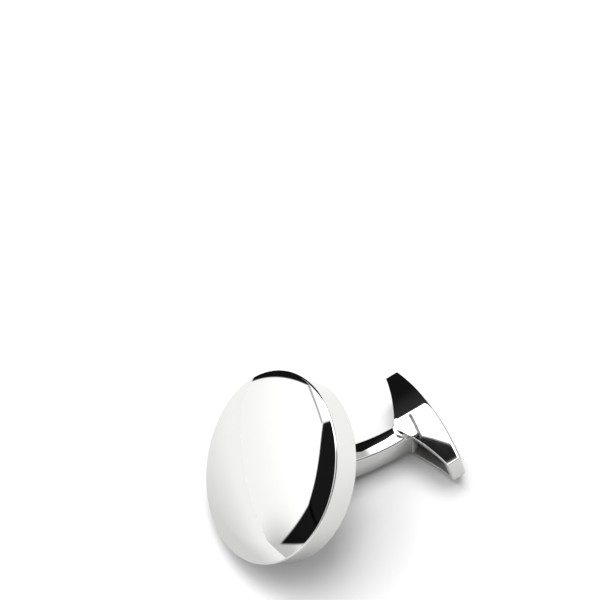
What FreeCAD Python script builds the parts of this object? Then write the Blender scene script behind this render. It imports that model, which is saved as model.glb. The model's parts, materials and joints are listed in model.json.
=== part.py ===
import FreeCAD, Part
import math
import os

Vector = FreeCAD.Vector
Placement = FreeCAD.Placement
Rotation = FreeCAD.Rotation

# Round cufflink: a hollow domed head, a curved arm and a boat-shaped bar that swivels on a cross pin.
# Each piece is drawn in the cufflink's own frame: the head's back lies in the plane Z = 0, its face points
# to -Z, the arm rises along +Z and bends over towards -Y, and the bar's length runs along X.
# The whole assembly is then laid down in the pose in which it rests on a table.
# Lengths are in millimetres and angles in degrees.

# Head
FACE_DIAMETER = 19.0
BACK_DIAMETER = 18.74
SIDE_HEIGHT = 2.87
SHOULDER_WIDTH = 2.1
SHOULDER_RISE = 0.5
DOME_RISE = 0.6
EDGE_ROUND = 0.18
SHELL_WALL = 0.7
RIM_LIP = 0.5
EAVE_INSET = 1.33
PLATE_THICKNESS = 0.8
PLATE_CLEARANCE = 0.02

# Arm
ARM_FOOT_STRAIGHT = 1.05
ARM_BEND_RADIUS = 13.5
ARM_BEND_ANGLE = 57.0
ARM_BEND_SPANS = 6
ARM_TIP_STRAIGHT = 0.6
ARM_FOOT_WIDTH = 2.7
ARM_FOOT_DEPTH = 3.3
ARM_TIP_WIDTH = 2.25
ARM_TIP_DEPTH = 2.75
ARM_CORNER_ROUND = 0.2
TENON_DIAMETER = 1.8
TENON_CLEARANCE = 0.03
TENON_HEAD_SPREAD = 0.4
TENON_HEAD_THICKNESS = 0.4
TENON_ROOT = 0.6
COLLAR_DIAMETER = 4.4
COLLAR_THICKNESS = 0.5

# Pivot
PIN_DIAMETER = 0.8
PIN_RUNNING_CLEARANCE = 0.04
PIN_SEAT_CLEARANCE = 0.01
PIN_END_INSET = 0.05
KNUCKLE_DIAMETER = 2.1
KNUCKLE_SIDE_CLEARANCE = 0.08
CAM_CORNER_ROUND = 0.8

# Boat-shaped bar
BAR_LENGTH = 13.04
BAR_WIDTH_MIDDLE = 5.28
BAR_WIDTH_END = 3.62
BAR_DEPTH_MIDDLE = 4.52
BAR_DEPTH_END = 1.6
BAR_RIM_DROP = 2.31
BAR_WALL = 0.55
BAR_NOSE_RADIUS = 1.0
BAR_NOSE_SWEEP = 29.0
NOSE_LAND_DEPTH = 0.1
BAR_BACK_ROUND = 0.3
BAR_CORNER_ROUND = 0.3
PIN_RISE = 0.74

# Spring in the bar
SPRING_WIDTH = 2.4
SPRING_THICKNESS = 0.25
SPRING_CAM_CLEARANCE = 0.06
SPRING_SEAT_CLEARANCE = 0.03
SPRING_END_CLEARANCE = 0.25

# Resting pose: search range of the pitch at which head and bar both touch the table
PITCH_LIMITS = (0.0, 90.0)
PITCH_TOLERANCE = 1e-6
EDGE_SAMPLES = 60

FACE_RADIUS = FACE_DIAMETER / 2
BACK_RADIUS = BACK_DIAMETER / 2
HEAD_THICKNESS = SIDE_HEIGHT + SHOULDER_RISE + DOME_RISE
SEAT_RADIUS = BACK_RADIUS - RIM_LIP
CAVITY_RADIUS = BACK_RADIUS - SHELL_WALL - RIM_LIP
PIN_RADIUS = PIN_DIAMETER / 2
CAM_REACH = ARM_TIP_WIDTH / 2
CAM_CORNER_REACH = math.sqrt(2) * (CAM_REACH - CAM_CORNER_ROUND) + CAM_CORNER_ROUND
BAR_HALF_LENGTH = BAR_LENGTH / 2
NOSE_Z = -PIN_RISE
END_RIM_Z = NOSE_Z + BAR_RIM_DROP
END_BACK_Z = END_RIM_Z + BAR_DEPTH_END
MIDDLE_BACK_Z = NOSE_Z + BAR_DEPTH_MIDDLE
INNER_WIDTH_MIDDLE = BAR_WIDTH_MIDDLE - 2 * BAR_WALL

X_AXIS = Vector(1, 0, 0)
Y_AXIS = Vector(0, 1, 0)
Z_AXIS = Vector(0, 0, 1)
ORIGIN = Vector(0, 0, 0)


def line(start, end):
    return Part.LineSegment(start, end).toShape()


def arc(start, middle, end):
    return Part.Arc(start, middle, end).toShape()


def tangent_arc(start, direction, end):
    """Arc that leaves start along direction and ends at end."""
    chord = end - start
    forward = Vector(chord).normalize()
    along = Vector(direction).normalize()
    sideways = along - forward * along.dot(forward)
    half_turn = math.acos(along.dot(forward)) / 2
    bulge = chord.Length / 2 * math.tan(half_turn)
    middle = start + chord * 0.5 + sideways.normalize() * bulge
    return arc(start, middle, end)


def solid_of_turn(edges):
    """Solid of revolution about Z of a closed outline in the XZ plane."""
    return Part.Face(Part.Wire(edges)).revolve(ORIGIN, Z_AXIS, 360)


def cylinder_along_y(radius, length):
    return Part.makeCylinder(radius, length, Vector(0, -length / 2, 0), Y_AXIS)


def dome_slope():
    """Angle of the domed face where it meets the shoulder."""
    inner_radius = FACE_RADIUS - SHOULDER_WIDTH
    return 2 * math.atan(DOME_RISE / inner_radius)


def face_shell():
    shoulder_radius = FACE_RADIUS - SHOULDER_WIDTH
    slope = dome_slope()
    crown = Vector(0, 0, -HEAD_THICKNESS)
    shoulder = Vector(shoulder_radius, 0, -(SIDE_HEIGHT + SHOULDER_RISE))
    edge = Vector(FACE_RADIUS, 0, -SIDE_HEIGHT)
    rim = Vector(BACK_RADIUS, 0, 0)
    outside = solid_of_turn([
        line(ORIGIN, crown),
        tangent_arc(crown, X_AXIS, shoulder),
        tangent_arc(shoulder, Vector(math.cos(slope), 0, math.sin(slope)), edge),
        line(edge, rim),
        line(rim, ORIGIN),
    ])
    sharp = [e for e in outside.Edges if e.isClosed() and abs(e.BoundBox.ZMax + SIDE_HEIGHT) < EDGE_ROUND]
    outside = outside.makeFillet(EDGE_ROUND, sharp)
    roof = Vector(0, 0, -(HEAD_THICKNESS - SHELL_WALL))
    eave = Vector(FACE_RADIUS - EAVE_INSET, 0, -(SIDE_HEIGHT + SHOULDER_RISE - SHELL_WALL))
    ledge = Vector(CAVITY_RADIUS, 0, -PLATE_THICKNESS)
    cavity = solid_of_turn([
        line(ORIGIN, roof),
        tangent_arc(roof, X_AXIS, eave),
        line(eave, ledge),
        line(ledge, Vector(SEAT_RADIUS, 0, -PLATE_THICKNESS)),
        line(Vector(SEAT_RADIUS, 0, -PLATE_THICKNESS), Vector(SEAT_RADIUS, 0, 0)),
        line(Vector(SEAT_RADIUS, 0, 0), ORIGIN),
    ])
    return outside.cut(cavity)


def back_plate():
    under = Vector(0, 0, -PLATE_THICKNESS)
    disc = Part.makeCylinder(SEAT_RADIUS - PLATE_CLEARANCE, PLATE_THICKNESS, under)
    hole = Part.makeCylinder(TENON_DIAMETER / 2 + TENON_CLEARANCE, PLATE_THICKNESS, under)
    return disc.cut(hole)


def tenon_collar():
    """Ring inside the head that spreads the pull of the arm over the back plate."""
    under = Vector(0, 0, -(PLATE_THICKNESS + COLLAR_THICKNESS))
    ring = Part.makeCylinder(COLLAR_DIAMETER / 2, COLLAR_THICKNESS, under)
    hole = Part.makeCylinder(TENON_DIAMETER / 2 + TENON_CLEARANCE, COLLAR_THICKNESS, under)
    return ring.cut(hole)


def arm_direction(turn):
    angle = math.radians(turn)
    return Vector(0, -math.sin(angle), math.cos(angle))


def arm_bend_point(turn):
    angle = math.radians(turn)
    sideways = -ARM_BEND_RADIUS * (1 - math.cos(angle))
    return Vector(0, sideways, ARM_FOOT_STRAIGHT + ARM_BEND_RADIUS * math.sin(angle))


def pin_placement():
    """Frame of the bar: origin on the pin's axis, X along the bar, Y along the pin, Z away from the arm."""
    tip = arm_bend_point(ARM_BEND_ANGLE) + arm_direction(ARM_BEND_ANGLE) * ARM_TIP_STRAIGHT
    return Placement(tip, Rotation(X_AXIS, ARM_BEND_ANGLE))


def rounded_rectangle(width, depth, radius):
    """Closed outline in the XY plane about the origin."""
    edges = []
    for quarter in range(4):
        turn = Rotation(Z_AXIS, 90 * quarter)
        half_x, half_y = (width / 2, depth / 2) if quarter % 2 == 0 else (depth / 2, width / 2)
        corner = Vector(half_x - radius, half_y - radius, 0)
        diagonal = radius / math.sqrt(2)
        side_start = turn.multVec(Vector(half_x, radius - half_y, 0))
        side_end = turn.multVec(Vector(half_x, half_y - radius, 0))
        round_middle = turn.multVec(corner + Vector(diagonal, diagonal, 0))
        round_end = turn.multVec(corner + Vector(0, radius, 0))
        edges.append(line(side_start, side_end))
        edges.append(arc(side_end, round_middle, round_end))
    return Part.Wire(edges)


def arm_sections():
    """Places along the arm's centre line, each with its turn and its distance from the foot."""
    bend_length = ARM_BEND_RADIUS * math.radians(ARM_BEND_ANGLE)
    sections = [(ORIGIN, 0.0, 0.0)]
    for span in range(ARM_BEND_SPANS + 1):
        share = span / ARM_BEND_SPANS
        turn = ARM_BEND_ANGLE * share
        sections.append((arm_bend_point(turn), turn, ARM_FOOT_STRAIGHT + bend_length * share))
    tip = pin_placement().Base
    sections.append((tip, ARM_BEND_ANGLE, ARM_FOOT_STRAIGHT + bend_length + ARM_TIP_STRAIGHT))
    return sections


def arm_bar():
    sections = arm_sections()
    length = sections[-1][2]
    wires = []
    for place, turn, distance in sections:
        share = distance / length
        width = ARM_FOOT_WIDTH + (ARM_TIP_WIDTH - ARM_FOOT_WIDTH) * share
        depth = ARM_FOOT_DEPTH + (ARM_TIP_DEPTH - ARM_FOOT_DEPTH) * share
        outline = rounded_rectangle(width, depth, ARM_CORNER_ROUND)
        outline.Placement = Placement(place, Rotation(X_AXIS, turn))
        wires.append(outline)
    return Part.makeLoft(wires, True, False)


def arm_tenon():
    """Stud through the plate and the collar, spread over inside the head."""
    shank_length = PLATE_THICKNESS + COLLAR_THICKNESS
    shank = Part.makeCylinder(TENON_DIAMETER / 2, shank_length + TENON_ROOT, Vector(0, 0, -shank_length))
    head_place = Vector(0, 0, -(shank_length + TENON_HEAD_THICKNESS))
    head = Part.makeCylinder(TENON_DIAMETER / 2 + TENON_HEAD_SPREAD, TENON_HEAD_THICKNESS, head_place)
    return shank.fuse(head)


def arm_cam():
    """Square end of the arm, in the bar's frame, whose flats the spring presses on."""
    reach = CAM_REACH
    bevel = CAM_CORNER_ROUND
    inset = bevel * (1 - 1 / math.sqrt(2))
    half_depth = ARM_TIP_DEPTH / 2 - ARM_CORNER_ROUND
    outline = Part.Wire([
        line(Vector(-reach, -half_depth, -PIN_RADIUS), Vector(reach, -half_depth, -PIN_RADIUS)),
        line(Vector(reach, -half_depth, -PIN_RADIUS), Vector(reach, -half_depth, reach - bevel)),
        arc(Vector(reach, -half_depth, reach - bevel),
            Vector(reach - inset, -half_depth, reach - inset),
            Vector(reach - bevel, -half_depth, reach)),
        line(Vector(reach - bevel, -half_depth, reach), Vector(bevel - reach, -half_depth, reach)),
        arc(Vector(bevel - reach, -half_depth, reach),
            Vector(inset - reach, -half_depth, reach - inset),
            Vector(-reach, -half_depth, reach - bevel)),
        line(Vector(-reach, -half_depth, reach - bevel), Vector(-reach, -half_depth, -PIN_RADIUS)),
    ])
    return Part.Face(outline).extrude(Y_AXIS * (2 * half_depth))


def arm():
    knuckle = cylinder_along_y(KNUCKLE_DIAMETER / 2, INNER_WIDTH_MIDDLE - 2 * KNUCKLE_SIDE_CLEARANCE)
    bore = cylinder_along_y(PIN_RADIUS + PIN_RUNNING_CLEARANCE, BAR_WIDTH_MIDDLE)
    at_pin = pin_placement()
    tip_pieces = []
    for piece in (arm_cam(), knuckle):
        piece.Placement = at_pin
        tip_pieces.append(piece)
    bore.Placement = at_pin
    return arm_bar().fuse([arm_tenon()] + tip_pieces).cut(bore)


def boat_plan(half_length, half_middle, half_end, low, high):
    """Prism along Z of the bar's plan: bowed sides and square ends."""
    near_left = Vector(-half_length, -half_end, low)
    near_right = Vector(half_length, -half_end, low)
    far_right = Vector(half_length, half_end, low)
    far_left = Vector(-half_length, half_end, low)
    outline = Part.Wire([
        arc(near_left, Vector(0, -half_middle, low), near_right),
        line(near_right, far_right),
        arc(far_right, Vector(0, half_middle, low), far_left),
        line(far_left, near_left),
    ])
    return Part.Face(outline).extrude(Z_AXIS * (high - low))


def slab_across(outline):
    """Prism along Y, wider than the bar, of an outline in the XZ plane."""
    face = Part.Face(outline)
    face.translate(Y_AXIS * -BAR_WIDTH_MIDDLE)
    return face.extrude(Y_AXIS * (2 * BAR_WIDTH_MIDDLE))


def boat_rim_edges():
    """Rim of the bar's side seen along Y: a blunt nose at the pin and hollow wings out to the ends."""
    sweep = math.radians(BAR_NOSE_SWEEP)
    nose_x = BAR_NOSE_RADIUS * math.sin(sweep)
    nose_z = NOSE_Z + BAR_NOSE_RADIUS * (1 - math.cos(sweep))
    left_end = Vector(-BAR_HALF_LENGTH, 0, END_RIM_Z)
    right_end = Vector(BAR_HALF_LENGTH, 0, END_RIM_Z)
    left = Vector(-nose_x, 0, nose_z)
    right = Vector(nose_x, 0, nose_z)
    return [
        tangent_arc(left, Vector(-math.cos(sweep), 0, math.sin(sweep)), left_end),
        arc(left, Vector(0, 0, NOSE_Z), right),
        tangent_arc(right, Vector(math.cos(sweep), 0, math.sin(sweep)), right_end),
    ]


def boat_outside():
    right_rim = Vector(BAR_HALF_LENGTH, 0, END_RIM_Z)
    right_back = Vector(BAR_HALF_LENGTH, 0, END_BACK_Z)
    left_rim = Vector(-BAR_HALF_LENGTH, 0, END_RIM_Z)
    left_back = Vector(-BAR_HALF_LENGTH, 0, END_BACK_Z)
    side = Part.Wire(Part.sortEdges(boat_rim_edges() + [
        line(right_rim, right_back),
        arc(right_back, Vector(0, 0, MIDDLE_BACK_Z), left_back),
        line(left_back, left_rim),
    ])[0])
    plan = boat_plan(BAR_HALF_LENGTH, BAR_WIDTH_MIDDLE / 2, BAR_WIDTH_END / 2,
                     NOSE_Z - BAR_WALL, MIDDLE_BACK_Z + BAR_WALL)
    corners = [edge for edge in plan.Edges if edge.BoundBox.ZLength > BAR_DEPTH_MIDDLE]
    body = plan.makeFillet(BAR_CORNER_ROUND, corners).common(slab_across(side))
    back = [edge for edge in body.Edges if edge.BoundBox.ZMin > END_BACK_Z - BAR_BACK_ROUND]
    return body.makeFillet(BAR_BACK_ROUND, back)


def boat_cavity():
    half_length = BAR_HALF_LENGTH - BAR_WALL
    floor_z = NOSE_Z - BAR_WALL
    right = Vector(half_length, 0, END_BACK_Z - BAR_WALL)
    left = Vector(-half_length, 0, END_BACK_Z - BAR_WALL)
    side = Part.Wire([
        line(Vector(-half_length, 0, floor_z), Vector(half_length, 0, floor_z)),
        line(Vector(half_length, 0, floor_z), right),
        arc(right, Vector(0, 0, MIDDLE_BACK_Z - BAR_WALL), left),
        line(left, Vector(-half_length, 0, floor_z)),
    ])
    plan = boat_plan(half_length, INNER_WIDTH_MIDDLE / 2, BAR_WIDTH_END / 2 - BAR_WALL,
                     floor_z, MIDDLE_BACK_Z)
    return plan.common(slab_across(side))


def toggle_shell():
    pin_hole = cylinder_along_y(PIN_RADIUS + PIN_SEAT_CLEARANCE, 2 * BAR_WIDTH_MIDDLE)
    shell = boat_outside().cut(boat_cavity()).cut(pin_hole)
    shell.Placement = pin_placement()
    return shell


def pivot_pin():
    pin = cylinder_along_y(PIN_RADIUS, BAR_WIDTH_MIDDLE - 2 * PIN_END_INSET)
    pin.Placement = pin_placement()
    return pin


def leaf_spring():
    """Bowed strip: its middle faces the cam and its ends bear on the inside of the bar's back."""
    half_length = BAR_HALF_LENGTH - BAR_WALL - SPRING_END_CLEARANCE
    near_z = CAM_CORNER_REACH + SPRING_CAM_CLEARANCE
    far_z = near_z + SPRING_THICKNESS
    end_z = END_BACK_Z - BAR_WALL - SPRING_SEAT_CLEARANCE
    low_end_z = end_z - SPRING_THICKNESS
    y = -SPRING_WIDTH / 2
    outline = Part.Wire([
        arc(Vector(-half_length, y, low_end_z), Vector(0, y, near_z), Vector(half_length, y, low_end_z)),
        line(Vector(half_length, y, low_end_z), Vector(half_length, y, end_z)),
        arc(Vector(half_length, y, end_z), Vector(0, y, far_z), Vector(-half_length, y, end_z)),
        line(Vector(-half_length, y, end_z), Vector(-half_length, y, low_end_z)),
    ])
    strip = Part.Face(outline).extrude(Y_AXIS * SPRING_WIDTH)
    strip.Placement = pin_placement()
    return strip


def edge_points(shape):
    points = []
    for edge in shape.Edges:
        if not edge.Degenerated:
            points.extend(edge.discretize(Number=EDGE_SAMPLES))
    return points


def depth(points, up):
    """How far the lowest of the points lies below the origin, measured against the up direction."""
    return -min(point.dot(up) for point in points)


def up_direction(pitch):
    pitch = math.radians(pitch)
    return Vector(0, -math.cos(pitch), -math.sin(pitch))


def resting_up(head, bar):
    """Up direction in which the head's rim lies on the table and the bar's nose dips in by its land."""
    head_points = edge_points(head)
    bar_points = edge_points(bar)
    low, high = PITCH_LIMITS
    while high - low > PITCH_TOLERANCE:
        pitch = (low + high) / 2
        up = up_direction(pitch)
        if depth(bar_points, up) - NOSE_LAND_DEPTH < depth(head_points, up):
            low = pitch
        else:
            high = pitch
    return up_direction(low)


def with_nose_lands(bar, head, up):
    """Bar with a small flat on the nose of each side, on which it lies level on the table."""
    pin = pin_placement()
    pin_height = pin.Base.dot(up) + depth(edge_points(head), up)
    corner = Vector(-BAR_LENGTH, -BAR_LENGTH, pin_height)
    below = Part.makeBox(2 * BAR_LENGTH, 2 * BAR_LENGTH, BAR_LENGTH, corner)
    below.Placement = Placement(pin.Base, Rotation(Z_AXIS, up * -1))
    return bar.cut(below).cut(below.mirror(pin.Base, pin.Rotation.multVec(Y_AXIS)))


def resting_placement(shapes, up):
    """Lay the cufflink on the plane Z = 0, with the bar level along X and the face towards -Y."""
    turn = Rotation(X_AXIS, up.cross(X_AXIS), up, "XYZ").inverted()
    laid = Part.makeCompound(list(shapes.values()))
    laid.Placement = Placement(ORIGIN, turn)
    box = laid.optimalBoundingBox(False, False)
    foot = Vector((box.XMin + box.XMax) / 2, (box.YMin + box.YMax) / 2, box.ZMin)
    return Placement(foot * -1, turn)


def build():
    shapes = {
        "face_shell": face_shell(),
        "back_plate": back_plate(),
        "tenon_collar": tenon_collar(),
        "arm": arm(),
        "toggle_shell": toggle_shell(),
        "pivot_pin": pivot_pin(),
        "leaf_spring": leaf_spring(),
    }
    head = shapes["face_shell"]
    bar = shapes["toggle_shell"]
    up = resting_up(head, bar)
    shapes["toggle_shell"] = with_nose_lands(bar, head, up)
    rest = resting_placement(shapes, up)
    for shape in shapes.values():
        shape.Placement = rest.multiply(shape.Placement)
    return shapes, rest


def main():
    os.makedirs("parts", exist_ok=True)
    shapes, rest = build()
    for name, shape in shapes.items():
        shape.exportStep(f"parts/{name}.step")
        print(name, "solids", len(shape.Solids), "valid", shape.isValid(), "volume", round(shape.Volume, 3))
    pin = rest.multiply(pin_placement())
    print("pin position", pin.Base)
    print("pin axis", pin.Rotation.multVec(Y_AXIS))
    print("rest base", rest.Base)
    print("rest x, y, z", [rest.Rotation.multVec(axis) for axis in (X_AXIS, Y_AXIS, Z_AXIS)])


main()
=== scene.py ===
import bpy
import json
import math
import numpy as np
from mathutils import Matrix, Vector

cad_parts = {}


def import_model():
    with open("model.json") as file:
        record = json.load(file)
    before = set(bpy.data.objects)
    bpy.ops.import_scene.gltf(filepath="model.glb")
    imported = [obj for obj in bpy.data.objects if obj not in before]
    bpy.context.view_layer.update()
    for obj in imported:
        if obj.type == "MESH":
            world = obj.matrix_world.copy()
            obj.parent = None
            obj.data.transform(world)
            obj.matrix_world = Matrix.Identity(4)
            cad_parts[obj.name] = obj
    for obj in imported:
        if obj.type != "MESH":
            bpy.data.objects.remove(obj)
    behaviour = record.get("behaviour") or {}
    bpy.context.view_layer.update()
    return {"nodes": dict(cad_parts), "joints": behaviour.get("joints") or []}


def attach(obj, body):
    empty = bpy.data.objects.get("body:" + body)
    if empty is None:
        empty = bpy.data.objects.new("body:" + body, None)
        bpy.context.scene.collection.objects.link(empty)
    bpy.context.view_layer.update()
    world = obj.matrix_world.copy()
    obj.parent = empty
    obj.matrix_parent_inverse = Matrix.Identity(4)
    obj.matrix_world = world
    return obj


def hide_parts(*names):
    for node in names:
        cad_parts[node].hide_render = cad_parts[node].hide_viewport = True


# Polished cufflink: a domed round head, a curved arm and a hollow boat-shaped bar on a cross pin.
# Pieces are drawn in millimetres in the frame of the head or of the bar, and placed by the swivel joint.
# Head frame: back in the plane Z = 0, face towards -Z, arm rising along +Z and bending towards -Y.
# Bar frame: origin on the pin, X along the bar, Y along the pin, Z away from the arm.

MM = 0.001
TOLERANCE = 1e-6

# Head
FACE_RADIUS = 9.5
BACK_RADIUS = 9.37
SIDE_HEIGHT = 2.87
SHOULDER_WIDTH = 2.1
SHOULDER_RISE = 0.5
DOME_RISE = 0.6
EDGE_ROUND = 0.18
SHELL_WALL = 0.7
RIM_LIP = 0.5
EAVE_INSET = 1.33
PLATE_THICKNESS = 0.8
PLATE_CLEARANCE = 0.02
FINE_ROUND = 0.06

# Arm
ARM_FOOT_STRAIGHT = 1.05
ARM_BEND_RADIUS = 13.5
ARM_BEND_ANGLE = 57.0
ARM_TIP_STRAIGHT = 0.6
ARM_FOOT_WIDTH = 2.7
ARM_FOOT_DEPTH = 3.3
ARM_TIP_WIDTH = 2.25
ARM_TIP_DEPTH = 2.75
ARM_CORNER_ROUND = 0.2
ARM_CROWN = 0.1
ARM_SIDE_CROWN = 0.14
TENON_RADIUS = 0.9
TENON_CLEARANCE = 0.03

# Pivot
PIN_RADIUS = 0.4
KNUCKLE_RADIUS = 1.05
KNUCKLE_SIDE_CLEARANCE = 0.08
CAM_CORNER_ROUND = 0.8

# Bar
BAR_LENGTH = 13.04
BAR_WIDTH_MIDDLE = 5.28
BAR_WIDTH_END = 3.62
BAR_DEPTH_MIDDLE = 4.52
BAR_DEPTH_END = 1.6
BAR_RIM_DROP = 2.31
BAR_WALL = 0.55
BAR_NOSE_RADIUS = 1.0
BAR_NOSE_SWEEP = 29.0
BAR_BACK_ROUND = 0.3
BAR_CORNER_ROUND = 0.12
BAR_RIM_ROUND = 0.07
PIN_RISE = 0.74

# Spring
SPRING_WIDTH = 2.4
SPRING_THICKNESS = 0.25
SPRING_CAM_CLEARANCE = 0.06
SPRING_SEAT_CLEARANCE = 0.03
SPRING_END_CLEARANCE = 0.25

# Fineness of the meshes: points along a stretch, sections along a piece, or levels across a form
HEAD_SEGMENTS = 360
DOME_POINTS = 90
SHOULDER_POINTS = 60
SIDE_POINTS = 24
EDGE_POINTS = 13
FINE_ROUND_POINTS = 7
LIP_POINTS = 4
SEAT_POINTS = 3
ROOF_POINTS = 12
PLATE_POINTS = 40
PLATE_INSIDE_POINTS = 6
ARM_CORNER_POINTS = 11
ARM_FACE_POINTS = 15
ARM_FOOT_SECTIONS = 5
ARM_BEND_SECTIONS = 121
ARM_TIP_SECTIONS = 4
CAM_CORNER_POINTS = 25
CAM_SIDE_POINTS = 9
CAM_BASE_POINTS = 21
KNUCKLE_POINTS = 96
PRISM_EDGE_LEVELS = 6
BAR_SIDE_POINTS = 2001
BAR_CORNER_POINTS = 13
BAR_END_POINTS = 33
BAR_PLAN_POINTS = 300
BAR_WING_POINTS = 200
BAR_BACK_POINTS = 401
BAR_BACK_LEVELS = 28
BAR_ROUND_LEVELS = 9
BAR_WALL_LEVELS = 25
BAR_RIM_LEVELS = 6
BAR_HOLLOW_LEVELS = 17
SPRING_POINTS = 81
SPRING_END_POINTS = 4
FIRST_LEVEL_SHARE = 0.04
SHARP_ANGLE = math.radians(32)

# Camera: focal length in pixels of a 600-pixel picture, target in millimetres, angles in degrees
PICTURE_WIDTH = 600
FOCAL_PIXELS = 895.3
SENSOR_WIDTH = 36.0
CLIP_START = 0.001
CAMERA_TARGET = (-12.97, 3.79, 14.99)
CAMERA_DISTANCE = 95.0
CAMERA_AZIMUTH = 70.29
CAMERA_ELEVATION = 45.97
CAMERA_ROLL = -7.86

# Light tent: brightness at the horizon and higher up, the elevation where it is full, the direction of the
# main side, the share left on the far side, and the cosines from the main side between which it dims
TENT_LOW = 1.64
TENT_HIGH = 2.0
TENT_RISE = 28.0
MAIN_LIGHT = (-60.0, 25.0)
FAR_SIDE_SHARE = 0.7
FAR_SIDE_COSINES = (-1.0, 0.3)

# Softbox: its brightness, its direction, and the angles from its middle where it is full and where it ends
SOFTBOX_LIGHT = 7.0
SOFTBOX_MIDDLE = (-90.0, 74.0)
SOFTBOX_EDGE = (14.0, 32.0)

# Dark openings and seams in the tent. Each corner has its azimuth from the front towards +X, its elevation
# and the half width of the soft edge that leaves it, in degrees. The last number is the share of light left.
OPENINGS = (
    # The dark crescent in the face, and its lower end
    (((-33, 54, 0.7), (-33, 36, 0.7), (-14.2, 18.5, 0.7), (12, 18.5, 8), (6, 38, 8), (-8, 54, 8)), 0.008),
    (((-14, 19.6, 1.1), (-11.4, 2.6, 1.1), (0, 9.8, 1.1), (9, 19.6, 1.1)), 0.008),
    # The dark patch in the bar's near wing
    (((-74, 67.5, 0.3), (36.9, 84.3, 5), (11.3, 73, 5), (-48.6, 65.6, 0.3)), 0.003),
    # The dark strip on the arm, the dark far wing of the bar and the band at the top of the head
    (((-140, 0, 0.7), (-140, 47, 0.7), (-123, 55.5, 0.7), (-108, 59.2, 0.7), (-80, 55.2, 0.7),
      (-52, 30, 0.7), (-60.7, 0, 0.7)), 0.006),
    # The dim side of the room to the right, and behind on the left
    (((22, 0, 6), (22, 66, 6), (90, 74, 6), (160, 66, 6), (160, 0, 6)), 0.25),
    (((-190, 5, 4), (-190, 66, 4), (-140, 66, 4), (-132, 5, 4)), 0.4),
    # The shade at the foot of the face
    (((-18, 8.5, 8), (-18, -8, 8), (3, -8, 8), (3, 8.5, 8)), 0.58),
    # The thin seams mirrored in the face and in the bar
    (((-57, 28.2, 0.3), (-33, 34.6, 0.3), (-33, 36, 0.3), (-57, 29.8, 0.3)), 0.4),
    (((-82, 56.3, 0.15), (-72, 70.15, 0.15), (-71, 70.1, 0.15), (-81.4, 56.3, 0.15)), 0.015),
)

# Floor: its size in metres, and the tone of its paper, which is darkened round a middle as painted shade,
# where the object's own shade falls. The fade is the lengths in X and Y over which the painted shade pales,
# in millimetres. The plateau says how many of them out that starts.
FLOOR_SIZE = 3.0
PAPER_ROUGHNESS = 0.9
PAINTED_SHADE_TONE = 0.61
PAPER_FAR = 0.89
PAINTED_SHADE_MIDDLE = (5.0, -15.0)
PAINTED_SHADE_FADE = (21.0, 44.0)
PAINTED_SHADE_PLATEAU = 0.5

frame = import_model()
JOINT = frame["joints"][0]

HEAD_THICKNESS = SIDE_HEIGHT + SHOULDER_RISE + DOME_RISE
SEAT_RADIUS = BACK_RADIUS - RIM_LIP
CAVITY_RADIUS = SEAT_RADIUS - SHELL_WALL
CAM_REACH = ARM_TIP_WIDTH / 2
CAM_CORNER_REACH = math.sqrt(2) * (CAM_REACH - CAM_CORNER_ROUND) + CAM_CORNER_ROUND
BAR_HALF_LENGTH = BAR_LENGTH / 2
NOSE_Z = -PIN_RISE
END_RIM_Z = NOSE_Z + BAR_RIM_DROP
END_BACK_Z = END_RIM_Z + BAR_DEPTH_END
MIDDLE_BACK_Z = NOSE_Z + BAR_DEPTH_MIDDLE
INNER_WIDTH_MIDDLE = BAR_WIDTH_MIDDLE - 2 * BAR_WALL


# Frames of the two bodies

def bar_frame():
    along_bar = Vector((1, 0, 0))
    along_pin = Vector(JOINT["axis"]).normalized()
    away = along_bar.cross(along_pin)
    turn = Matrix((along_bar, along_pin, away)).transposed().to_4x4()
    return Matrix.Translation(Vector(JOINT["pos_m"])) @ turn @ Matrix.Scale(MM, 4)


def arm_point(distance):
    """Point of the arm's centre line in the head frame, with the turn there in radians."""
    bend = math.radians(ARM_BEND_ANGLE)
    turn = min(max((distance - ARM_FOOT_STRAIGHT) / ARM_BEND_RADIUS, 0.0), bend)
    straight = min(distance, ARM_FOOT_STRAIGHT)
    beyond = max(distance - ARM_FOOT_STRAIGHT - ARM_BEND_RADIUS * bend, 0.0)
    sideways = -ARM_BEND_RADIUS * (1 - math.cos(turn)) - beyond * math.sin(turn)
    rise = straight + ARM_BEND_RADIUS * math.sin(turn) + beyond * math.cos(turn)
    return np.array((0.0, sideways, rise)), turn


def arm_length():
    return ARM_FOOT_STRAIGHT + ARM_BEND_RADIUS * math.radians(ARM_BEND_ANGLE) + ARM_TIP_STRAIGHT


def head_frame():
    tip, turn = arm_point(arm_length())
    bar_in_head = Matrix.Translation(Vector(tip)) @ Matrix.Rotation(turn, 4, "X")
    return bar_frame() @ bar_in_head.inverted()


# Outlines

def arc_through(start, middle, end, count):
    """Points on the circle through three points of a plane, from start to end."""
    (ax, ay), (bx, by), (cx, cy) = start, middle, end
    rows = np.array(((bx - ax, by - ay), (cx - ax, cy - ay))) * 2
    sums = np.array((bx * bx + by * by - ax * ax - ay * ay, cx * cx + cy * cy - ax * ax - ay * ay))
    centre = np.linalg.solve(rows, sums)
    radius = math.hypot(ax - centre[0], ay - centre[1])
    first = math.atan2(ay - centre[1], ax - centre[0])
    sweep_middle = (math.atan2(by - centre[1], bx - centre[0]) - first) % (2 * math.pi)
    sweep = (math.atan2(cy - centre[1], cx - centre[0]) - first) % (2 * math.pi)
    if sweep_middle > sweep:
        sweep -= 2 * math.pi
    angles = first + sweep * np.linspace(0, 1, count)
    return centre + radius * np.stack((np.cos(angles), np.sin(angles)), 1)


def tangent_arc(start, angle, end, count):
    """Points on the arc that leaves start at an angle and reaches end."""
    start, end = np.array(start), np.array(end)
    chord = end - start
    half_turn = (math.atan2(chord[1], chord[0]) - angle) / 2
    across = np.array((chord[1], -chord[0]))
    middle = start + chord / 2 + across / 2 * math.tan(half_turn)
    return arc_through(start, middle, end, count)


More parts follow.
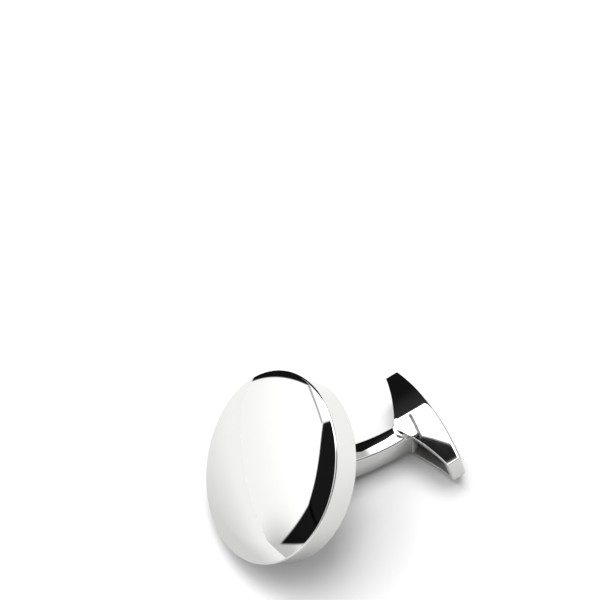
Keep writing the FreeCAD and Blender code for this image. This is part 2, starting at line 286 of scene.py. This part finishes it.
def corner_round(before, corner, after, radius, count):
    """Points of a round of that radius between two straight runs that meet at a corner."""
    before, corner, after = np.array(before), np.array(corner), np.array(after)
    back = (before - corner) / np.linalg.norm(before - corner)
    on = (after - corner) / np.linalg.norm(after - corner)
    half = math.acos(np.clip(back @ on, -1, 1)) / 2
    middle_way = (back + on) / np.linalg.norm(back + on)
    centre = corner + middle_way * radius / math.sin(half)
    reach = radius / math.tan(half)
    return arc_through(corner + back * reach, centre - middle_way * radius, corner + on * reach, count)


def run(start, end, count):
    """Points on the straight line from start to end."""
    share = np.linspace(0, 1, count)[:, None]
    return np.array(start) * (1 - share) + np.array(end) * share


def joined(*stretches):
    """One outline from stretches that meet end to end, without doubled points."""
    points = [stretches[0]]
    for stretch in stretches[1:]:
        meets = np.allclose(stretch[0], points[-1][-1], atol=TOLERANCE)
        points.append(stretch[1:] if meets else stretch)
    return np.concatenate(points)


def resample(points, count):
    """Points spread evenly along a line of points."""
    steps = np.linalg.norm(np.diff(points, axis=0), axis=1)
    along = np.concatenate(((0,), np.cumsum(steps)))
    wanted = np.linspace(0, along[-1], count)
    return np.stack([np.interp(wanted, along, points[:, axis]) for axis in range(2)], 1)


def plan_loop(inset):
    """Closed plan of the bar, taken in by an inset: bowed sides, square ends, rounded corners."""
    length = BAR_HALF_LENGTH - inset
    middle = BAR_WIDTH_MIDDLE / 2 - inset
    end = BAR_WIDTH_END / 2 - inset
    radius = max(BAR_CORNER_ROUND - inset, FINE_ROUND)
    side = arc_through((-length, -end), (0, -middle), (length, -end), BAR_SIDE_POINTS)
    keep = side[np.abs(side[:, 0]) <= length - radius]
    corner = corner_round(keep[-1], (length, -end), (length, 0), radius, BAR_CORNER_POINTS)
    half = joined(keep, corner, run(corner[-1], (length, end - radius), BAR_END_POINTS))
    near = resample(half, BAR_PLAN_POINTS)
    return np.concatenate((near[:-1], -near[:-1]))


# Meshes

def skin(name, loops, matrix):
    """Closed mesh through loops of as many points each; a loop of one point is a pole."""
    verts, faces, starts = [], [], []
    for loop in loops:
        starts.append(len(verts))
        verts.extend(np.atleast_2d(loop))
    for (a, first), (b, second) in zip(zip(starts, loops), zip(starts[1:], loops[1:])):
        size_a, size_b = len(np.atleast_2d(first)), len(np.atleast_2d(second))
        size = max(size_a, size_b)
        for i in range(size):
            j = (i + 1) % size
            if size_a == 1:
                faces.append((a, b + j, b + i))
            elif size_b == 1:
                faces.append((a + i, a + j, b))
            else:
                faces.append((a + i, a + j, b + j, b + i))
    mesh = bpy.data.meshes.new(name)
    mesh.from_pydata([tuple(map(float, v)) for v in verts], [], faces)
    mesh.transform(matrix)
    obj = bpy.data.objects.new(name, mesh)
    bpy.context.scene.collection.objects.link(obj)
    face_outwards(obj)
    return obj


def face_outwards(obj):
    bpy.context.view_layer.objects.active = obj
    obj.select_set(True)
    bpy.ops.object.mode_set(mode="EDIT")
    bpy.ops.mesh.select_all(action="SELECT")
    bpy.ops.mesh.normals_make_consistent(inside=False)
    bpy.ops.object.mode_set(mode="OBJECT")
    obj.select_set(False)


def smooth(obj):
    obj.data.shade_smooth()
    obj.data.set_sharp_from_angle(angle=SHARP_ANGLE)


def turned(name, profile, matrix):
    """Closed mesh of an outline of radius and height, turned about Z; a point on the axis is a pole."""
    angles = np.linspace(0, 2 * math.pi, HEAD_SEGMENTS, endpoint=False)
    ring = np.stack((np.cos(angles), np.sin(angles)), 1)
    loops = []
    for radius, height in profile:
        if radius < TOLERANCE:
            loops.append(np.array((0, 0, height)))
        else:
            loops.append(np.column_stack((ring * radius, np.full(len(ring), height))))
    return skin(name, loops, matrix)


def prism_across(name, outline, half_width, edge, matrix):
    """Prism along Y of a closed XZ outline function of an inset, with its end edges rounded."""
    def level(inset, y):
        points = outline(inset)
        return np.column_stack((points[:, 0], np.full(len(points), y), points[:, 1]))
    turns = np.linspace(0, math.pi / 2, PRISM_EDGE_LEVELS)
    near = [level(edge * (1 - math.sin(t)), -half_width + edge * (1 - math.cos(t))) for t in turns]
    far = [level(edge * (1 - math.sin(t)), half_width - edge * (1 - math.cos(t))) for t in turns[::-1]]
    loops = [near[0].mean(0)] + near + far + [far[-1].mean(0)]
    return skin(name, loops, matrix)


def unite(obj, other):
    change = obj.modifiers.new("unite", "BOOLEAN")
    change.operation = "UNION"
    change.solver = "EXACT"
    change.object = other
    bpy.context.view_layer.objects.active = obj
    bpy.ops.object.modifier_apply(modifier=change.name)
    bpy.data.objects.remove(other)


# Head

def face_profile():
    slope = 2 * math.atan(DOME_RISE / (FACE_RADIUS - SHOULDER_WIDTH))
    crown = (0.0, -HEAD_THICKNESS)
    shoulder = (FACE_RADIUS - SHOULDER_WIDTH, -(SIDE_HEIGHT + SHOULDER_RISE))
    edge = (FACE_RADIUS, -SIDE_HEIGHT)
    rim = (BACK_RADIUS, 0.0)
    lip = (SEAT_RADIUS, 0.0)
    dome = tangent_arc(crown, 0.0, shoulder, DOME_POINTS)
    slant = tangent_arc(shoulder, slope, edge, SHOULDER_POINTS)
    edge_round = corner_round(slant[-2], edge, rim, EDGE_ROUND, EDGE_POINTS)
    slant = slant[slant[:, 0] < edge_round[0, 0]]
    rim_round = corner_round(edge, rim, lip, FINE_ROUND, FINE_ROUND_POINTS)
    lip_round = corner_round(rim, lip, (SEAT_RADIUS, -PLATE_THICKNESS), FINE_ROUND, FINE_ROUND_POINTS)
    return joined(dome, slant, edge_round, run(edge_round[-1], rim_round[0], SIDE_POINTS), rim_round,
                  run(rim_round[-1], lip_round[0], LIP_POINTS), lip_round, hollow_profile())


def hollow_profile():
    seat = (SEAT_RADIUS, -PLATE_THICKNESS)
    ledge = (CAVITY_RADIUS, -PLATE_THICKNESS)
    eave = (FACE_RADIUS - EAVE_INSET, -(SIDE_HEIGHT + SHOULDER_RISE - SHELL_WALL))
    roof = (0.0, -(HEAD_THICKNESS - SHELL_WALL))
    return joined(run(seat, ledge, SEAT_POINTS), run(ledge, eave, SEAT_POINTS), run(eave, roof, ROOF_POINTS))


def face_shell():
    return turned("polished_head", face_profile(), head_frame())


def back_plate():
    outer = SEAT_RADIUS - PLATE_CLEARANCE
    hole = TENON_RADIUS + TENON_CLEARANCE
    outer_inside = (outer, -PLATE_THICKNESS)
    hole_inside = (hole, -PLATE_THICKNESS)
    edge = corner_round((hole, 0.0), (outer, 0.0), outer_inside, FINE_ROUND, FINE_ROUND_POINTS)
    profile = joined(run(hole_inside, (hole, 0.0), SEAT_POINTS),
                     run((hole, 0.0), edge[0], PLATE_POINTS), edge,
                     run(edge[-1], outer_inside, SEAT_POINTS),
                     run(outer_inside, hole_inside, PLATE_INSIDE_POINTS))
    return turned("polished_back", profile, head_frame())


# Arm

def arm_section(distance):
    """Rounded rectangle with crowned faces across the arm at a distance from the foot, in the head frame."""
    share = distance / arm_length()
    half_x = (ARM_FOOT_WIDTH + (ARM_TIP_WIDTH - ARM_FOOT_WIDTH) * share) / 2
    half_y = (ARM_FOOT_DEPTH + (ARM_TIP_DEPTH - ARM_FOOT_DEPTH) * share) / 2
    corners = [(half_x, -half_y), (half_x, half_y), (-half_x, half_y), (-half_x, -half_y)]
    stretches = []
    for i, corner in enumerate(corners):
        before, after, beyond = corners[i - 1], corners[(i + 1) % 4], corners[(i + 2) % 4]
        bend = corner_round(before, corner, after, ARM_CORNER_ROUND, ARM_CORNER_POINTS)
        next_bend = corner_round(corner, after, beyond, ARM_CORNER_ROUND, ARM_CORNER_POINTS)
        stretches.append(bend)
        stretches.append(run(bend[-1], next_bend[0], ARM_FACE_POINTS))
    outline = joined(*stretches)[:-1]
    crown = np.sign(outline[:, 1]) * ARM_CROWN * (1 - (outline[:, 0] / half_x) ** 2)
    outline[:, 0] *= 1 - ARM_SIDE_CROWN / half_x * (outline[:, 1] / half_y) ** 2
    outline[:, 1] += crown
    place, turn = arm_point(distance)
    across = np.array((0, math.cos(turn), math.sin(turn)))
    return place + outline[:, :1] * np.array((1, 0, 0)) + outline[:, 1:] * across


def cam_outline(inset):
    reach = CAM_REACH - inset
    low = -PIN_RADIUS + inset
    radius = CAM_CORNER_ROUND - inset
    right = corner_round((reach, low), (reach, reach), (0, reach), radius, CAM_CORNER_POINTS)
    left = right[::-1] * np.array((-1, 1))
    return joined(run((reach, low), right[0], CAM_SIDE_POINTS), right,
                  run(right[-1], left[0], CAM_SIDE_POINTS), left,
                  run(left[-1], (-reach, low), CAM_SIDE_POINTS),
                  run((-reach, low), (reach, low), CAM_BASE_POINTS))[:-1]


def knuckle_outline(inset):
    angles = np.linspace(0, 2 * math.pi, KNUCKLE_POINTS, endpoint=False)
    return (KNUCKLE_RADIUS - inset) * np.stack((np.cos(angles), np.sin(angles)), 1)


def arm():
    end = arm_length()
    bend_end = end - ARM_TIP_STRAIGHT
    distances = np.concatenate((np.linspace(0, ARM_FOOT_STRAIGHT, ARM_FOOT_SECTIONS)[:-1],
                                np.linspace(ARM_FOOT_STRAIGHT, bend_end, ARM_BEND_SECTIONS),
                                np.linspace(bend_end, end, ARM_TIP_SECTIONS)[1:]))
    sections = [arm_section(distance) for distance in distances]
    loops = [arm_point(0)[0]] + sections + [arm_point(end)[0]]
    bar = skin("polished_arm", loops, head_frame())
    cam_half = ARM_TIP_DEPTH / 2 - ARM_CORNER_ROUND
    unite(bar, prism_across("cam", cam_outline, cam_half, FINE_ROUND, bar_frame()))
    knuckle_half = INNER_WIDTH_MIDDLE / 2 - KNUCKLE_SIDE_CLEARANCE
    unite(bar, prism_across("knuckle", knuckle_outline, knuckle_half, FINE_ROUND, bar_frame()))
    return bar


# Bar

def rim_height(x):
    """Height of the bar's open rim: a blunt nose over the pin and hollow wings out to the ends."""
    sweep = math.radians(BAR_NOSE_SWEEP)
    nose_x = BAR_NOSE_RADIUS * math.sin(sweep)
    nose_z = NOSE_Z + BAR_NOSE_RADIUS * (1 - math.cos(sweep))
    wing = tangent_arc((nose_x, nose_z), sweep, (BAR_HALF_LENGTH, END_RIM_Z), BAR_WING_POINTS)
    off = np.abs(x)
    nose = NOSE_Z + BAR_NOSE_RADIUS - np.sqrt(np.maximum(BAR_NOSE_RADIUS ** 2 - off ** 2, 0))
    return np.where(off < nose_x, nose, np.interp(off, wing[:, 0], wing[:, 1]))


def back_height(x, inset):
    """Height of the bar's curved back, outside with no inset and inside with the wall as inset."""
    end = (BAR_HALF_LENGTH - inset, END_BACK_Z - inset)
    back = arc_through((-end[0], end[1]), (0, MIDDLE_BACK_Z - inset), end, BAR_BACK_POINTS)
    return np.interp(x, back[:, 0], back[:, 1])


def side_limit(height):
    """Half width that the table leaves the bar at a height: the small flats on the nose that it lies on."""
    down = -Vector(JOINT["axis"]).normalized().z
    pin_height = JOINT["pos_m"][2] / MM
    return (pin_height + height * math.sqrt(1 - down * down)) / down


def bar_level(plan, height):
    limit = side_limit(height)
    return np.column_stack((plan[:, 0], np.clip(plan[:, 1], -limit, limit), height))


def bar_outside():
    """Loops from the middle of the bar's back, over the round at its edge and down the walls."""
    turns = np.linspace(0, math.pi / 2, BAR_ROUND_LEVELS)
    back_plan = plan_loop(BAR_BACK_ROUND)
    loops = [np.array((0, 0, MIDDLE_BACK_Z))]
    for k in np.linspace(FIRST_LEVEL_SHARE, 1, BAR_BACK_LEVELS):
        loops.append(bar_level(back_plan * k, back_height(back_plan[:, 0] * k, 0)))
    for t in turns[1:]:
        plan = plan_loop(BAR_BACK_ROUND * (1 - math.sin(t)))
        loops.append(bar_level(plan, back_height(plan[:, 0], 0) - BAR_BACK_ROUND * (1 - math.cos(t))))
    outer = plan_loop(0)
    wall_top = back_height(outer[:, 0], 0) - BAR_BACK_ROUND
    wall_low = rim_height(outer[:, 0]) + BAR_RIM_ROUND
    for k in np.linspace(0, 1, BAR_WALL_LEVELS)[1:]:
        loops.append(bar_level(outer, wall_top + (wall_low - wall_top) * k))
    return loops


def bar_rim():
    """Loops over the open rim, with both its edges rounded."""
    turns = np.linspace(0, math.pi / 2, BAR_ROUND_LEVELS)
    loops = []
    for t in turns[1:]:
        plan = plan_loop(BAR_RIM_ROUND * (1 - math.cos(t)))
        loops.append(bar_level(plan, rim_height(plan[:, 0]) + BAR_RIM_ROUND * (1 - math.sin(t))))
    for inset in np.linspace(BAR_RIM_ROUND, BAR_WALL - BAR_RIM_ROUND, BAR_RIM_LEVELS)[1:]:
        plan = plan_loop(inset)
        loops.append(bar_level(plan, rim_height(plan[:, 0])))
    for t in turns[1:]:
        plan = plan_loop(BAR_WALL - BAR_RIM_ROUND * (1 - math.sin(t)))
        loops.append(bar_level(plan, rim_height(plan[:, 0]) + BAR_RIM_ROUND * (1 - math.cos(t))))
    return loops


def bar_hollow():
    """Loops up the inside of the walls and in to the middle of the back."""
    inner = plan_loop(BAR_WALL)
    low = rim_height(inner[:, 0]) + BAR_RIM_ROUND
    top = back_height(inner[:, 0], BAR_WALL)
    loops = [bar_level(inner, low + (top - low) * k) for k in np.linspace(0, 1, BAR_HOLLOW_LEVELS)[1:]]
    for k in np.linspace(FIRST_LEVEL_SHARE, 1, BAR_BACK_LEVELS)[-2::-1]:
        loops.append(bar_level(inner * k, back_height(inner[:, 0] * k, BAR_WALL)))
    loops.append(np.array((0, 0, MIDDLE_BACK_Z - BAR_WALL)))
    return loops


def toggle_shell():
    """The bar, whose second material slot is for the hollow: its faces are the last ones."""
    hollow = bar_hollow()
    bar = skin("polished_bar", bar_outside() + bar_rim() + hollow, bar_frame())
    for face in bar.data.polygons[-len(hollow) * len(hollow[0]):]:
        face.material_index = 1
    return bar


# Spring

def spring_outline(inset):
    half_length = BAR_HALF_LENGTH - BAR_WALL - SPRING_END_CLEARANCE - inset
    near = CAM_CORNER_REACH + SPRING_CAM_CLEARANCE + inset
    far = near + SPRING_THICKNESS - 2 * inset
    end_far = END_BACK_Z - BAR_WALL - SPRING_SEAT_CLEARANCE - inset
    end_near = end_far - SPRING_THICKNESS + 2 * inset
    low = arc_through((-half_length, end_near), (0, near), (half_length, end_near), SPRING_POINTS)
    high = arc_through((half_length, end_far), (0, far), (-half_length, end_far), SPRING_POINTS)
    return joined(low, run(low[-1], high[0], SPRING_END_POINTS), high,
                  run(high[-1], low[0], SPRING_END_POINTS))[:-1]


def leaf_spring():
    return prism_across("spring_strip", spring_outline, SPRING_WIDTH / 2, FINE_ROUND, bar_frame())


# Materials

def metal(name, colour, grain, detail, roughness):
    """Metal whose roughness varies with a fine noise, with the noise's scale per metre along each axis."""
    material = bpy.data.materials.new(name)
    material.use_nodes = True
    nodes, links = material.node_tree.nodes, material.node_tree.links
    shader = nodes["Principled BSDF"]
    shader.inputs["Base Color"].default_value = (*colour, 1)
    shader.inputs["Metallic"].default_value = 1.0
    place = nodes.new("ShaderNodeTexCoord")
    stretch = nodes.new("ShaderNodeMapping")
    stretch.inputs["Scale"].default_value = grain
    noise = nodes.new("ShaderNodeTexNoise")
    noise.inputs["Scale"].default_value = 1.0
    noise.inputs["Detail"].default_value = detail
    spread = nodes.new("ShaderNodeMapRange")
    spread.inputs["To Min"].default_value, spread.inputs["To Max"].default_value = roughness
    links.new(place.outputs["Object"], stretch.inputs["Vector"])
    links.new(stretch.outputs["Vector"], noise.inputs["Vector"])
    links.new(noise.outputs["Fac"], spread.inputs["Value"])
    links.new(spread.outputs["Result"], shader.inputs["Roughness"])
    return material


def polished_silver():
    """Mirror-polished silver, with faint polishing haze."""
    return metal("polished_silver", colour=(0.55, 0.549, 0.543), grain=(900.0, 900.0, 900.0), detail=6.0,
                 roughness=(0.008, 0.03))


def cast_silver_painted_shade():
    """Unpolished silver of the bar's hollow, as it left the mould, with its colour darker than the polished
    silver as painted shade in the hollow.
    """
    return metal("cast_silver_painted_shade", colour=(0.40, 0.395, 0.38), grain=(3500.0, 3500.0, 3500.0), detail=4.0,
                 roughness=(0.24, 0.42))


def spring_steel():
    """Rolled strip with fine lines along its length."""
    return metal("spring_steel", colour=(0.60, 0.60, 0.61), grain=(40.0, 9000.0, 9000.0), detail=2.0,
                 roughness=(0.18, 0.38))


def floor_paper_painted_shade():
    """Backdrop paper with painted shade: dimmer round the object, where its shade falls, and paler away from
    it.
    """
    material = bpy.data.materials.new("floor_paper_painted_shade")
    material.use_nodes = True
    nodes, links = material.node_tree.nodes, material.node_tree.links
    shader = nodes["Principled BSDF"]
    shader.inputs["Roughness"].default_value = PAPER_ROUGHNESS
    place = nodes.new("ShaderNodeTexCoord")
    steps = nodes.new("ShaderNodeMapping")
    steps.vector_type = "TEXTURE"
    steps.inputs["Location"].default_value = Vector((*PAINTED_SHADE_MIDDLE, 0)) * MM
    steps.inputs["Scale"].default_value = Vector((*PAINTED_SHADE_FADE, 1)) * MM
    off = nodes.new("ShaderNodeVectorMath")
    off.operation = "LENGTH"
    inside = nodes.new("ShaderNodeMath")
    inside.operation = "SUBTRACT"
    inside.inputs[0].default_value = PAINTED_SHADE_PLATEAU
    fade = nodes.new("ShaderNodeMath")
    fade.operation = "EXPONENT"
    # Painted shade: the paper's colour is darkened round the middle, under and beside the object.
    paper_tone_with_painted_shade = nodes.new("ShaderNodeMapRange")
    paper_tone_with_painted_shade.inputs["To Min"].default_value = PAPER_FAR
    paper_tone_with_painted_shade.inputs["To Max"].default_value = PAINTED_SHADE_TONE
    links.new(place.outputs["Object"], steps.inputs["Vector"])
    links.new(steps.outputs["Vector"], off.inputs[0])
    links.new(off.outputs["Value"], inside.inputs[1])
    links.new(inside.outputs["Value"], fade.inputs[0])
    links.new(fade.outputs["Value"], paper_tone_with_painted_shade.inputs["Value"])
    links.new(paper_tone_with_painted_shade.outputs["Result"], shader.inputs["Base Color"])
    return material


# Stage

def floor():
    half = FLOOR_SIZE / 2
    corners = [(-half, -half, 0), (half, -half, 0), (half, half, 0), (-half, half, 0)]
    mesh = bpy.data.meshes.new("floor")
    mesh.from_pydata(corners, [], [(0, 1, 2, 3)])
    obj = bpy.data.objects.new("floor", mesh)
    bpy.context.scene.collection.objects.link(obj)
    obj.data.materials.append(floor_paper_painted_shade())


def towards(azimuth, elevation):
    """Unit vector of a direction given in degrees, with the azimuth from -Y towards +X."""
    azimuth, elevation = math.radians(azimuth), math.radians(elevation)
    return Vector((math.sin(azimuth) * math.cos(elevation), -math.cos(azimuth) * math.cos(elevation),
                   math.sin(elevation)))


def camera():
    away = towards(CAMERA_AZIMUTH, CAMERA_ELEVATION)
    data = bpy.data.cameras.new("camera")
    data.sensor_width = SENSOR_WIDTH
    data.lens = FOCAL_PIXELS / PICTURE_WIDTH * SENSOR_WIDTH
    data.clip_start = CLIP_START
    obj = bpy.data.objects.new("camera", data)
    bpy.context.scene.collection.objects.link(obj)
    turn = away.to_track_quat("Z", "Y").to_matrix() @ Matrix.Rotation(math.radians(CAMERA_ROLL), 3, "Z")
    obj.matrix_world = turn.to_4x4()
    obj.location = (Vector(CAMERA_TARGET) + away * CAMERA_DISTANCE) * MM
    bpy.context.scene.camera = obj


def ramp(tree, value, low, high, start, end):
    """Smooth step from start, where the value is low, to end, where it is high."""
    node = tree.nodes.new("ShaderNodeMapRange")
    node.interpolation_type = "SMOOTHSTEP"
    node.inputs["From Min"].default_value = low
    node.inputs["From Max"].default_value = high
    node.inputs["To Min"].default_value = start
    node.inputs["To Max"].default_value = end
    tree.links.new(value, node.inputs["Value"])
    return node.outputs["Result"]


def along(tree, direction, axis):
    """Cosine between a direction and an axis."""
    node = tree.nodes.new("ShaderNodeVectorMath")
    node.operation = "DOT_PRODUCT"
    node.inputs[1].default_value = axis
    tree.links.new(direction, node.inputs[0])
    return node.outputs["Value"]


def combined(tree, operation, first, second):
    node = tree.nodes.new("ShaderNodeMath")
    node.operation = operation
    tree.links.new(first, node.inputs[0])
    tree.links.new(second, node.inputs[1])
    return node.outputs["Value"]


def inside_opening(tree, direction, corners):
    """One inside an opening with straight edges and nought outside it."""
    points = [towards(azimuth, elevation) for azimuth, elevation, soft in corners]
    middle = sum(points, Vector())
    inside = None
    for (_, _, soft), start, end in zip(corners, points, points[1:] + points[:1]):
        inward = start.cross(end).normalized()
        if inward.dot(middle) < 0:
            inward.negate()
        reach = math.sin(math.radians(soft))
        edge = ramp(tree, along(tree, direction, inward), -reach, reach, 0.0, 1.0)
        inside = edge if inside is None else combined(tree, "MULTIPLY", inside, edge)
    return inside


def world():
    """White light tent with a softbox overhead, and dark openings that the polished metal mirrors."""
    sky = bpy.data.worlds.new("tent")
    sky.use_nodes = True
    tree = sky.node_tree
    direction = tree.nodes.new("ShaderNodeTexCoord").outputs["Generated"]
    height = along(tree, direction, (0, 0, 1))
    light = ramp(tree, height, 0.0, math.sin(math.radians(TENT_RISE)), TENT_LOW, TENT_HIGH)
    side = ramp(tree, along(tree, direction, towards(*MAIN_LIGHT)), *FAR_SIDE_COSINES, FAR_SIDE_SHARE, 1.0)
    light = combined(tree, "MULTIPLY", light, side)
    full, end = [math.cos(math.radians(angle)) for angle in SOFTBOX_EDGE]
    softbox = ramp(tree, along(tree, direction, towards(*SOFTBOX_MIDDLE)), end, full, 0.0, SOFTBOX_LIGHT)
    light = combined(tree, "ADD", light, softbox)
    for corners, share in OPENINGS:
        shade = ramp(tree, inside_opening(tree, direction, corners), 0.0, 1.0, 1.0, share)
        light = combined(tree, "MULTIPLY", light, shade)
    shader = tree.nodes["Background"]
    shader.inputs["Color"].default_value = (1, 1, 1, 1)
    tree.links.new(light, shader.inputs["Strength"])
    bpy.context.scene.world = sky


def dress(piece, material, node, body):
    piece.data.materials.append(material)
    smooth(piece)
    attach(piece, body)
    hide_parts(node)


def main():
    silver = polished_silver()
    steel = spring_steel()
    for build, node in ((face_shell, "face_shell"), (back_plate, "back_plate"), (arm, "arm")):
        dress(build(), silver, node, "head")
    bar = toggle_shell()
    dress(bar, silver, "toggle_shell", "bar")
    # The hollow gets rougher silver whose darker colour is painted shade inside the bar.
    bar.data.materials.append(cast_silver_painted_shade())
    dress(leaf_spring(), steel, "leaf_spring", "bar")
    for node in ("tenon_collar", "pivot_pin"):
        frame["nodes"][node].data.materials.clear()
        frame["nodes"][node].data.materials.append(silver)
    floor()
    camera()
    world()
    bpy.context.scene.view_settings.view_transform = "Standard"


main()
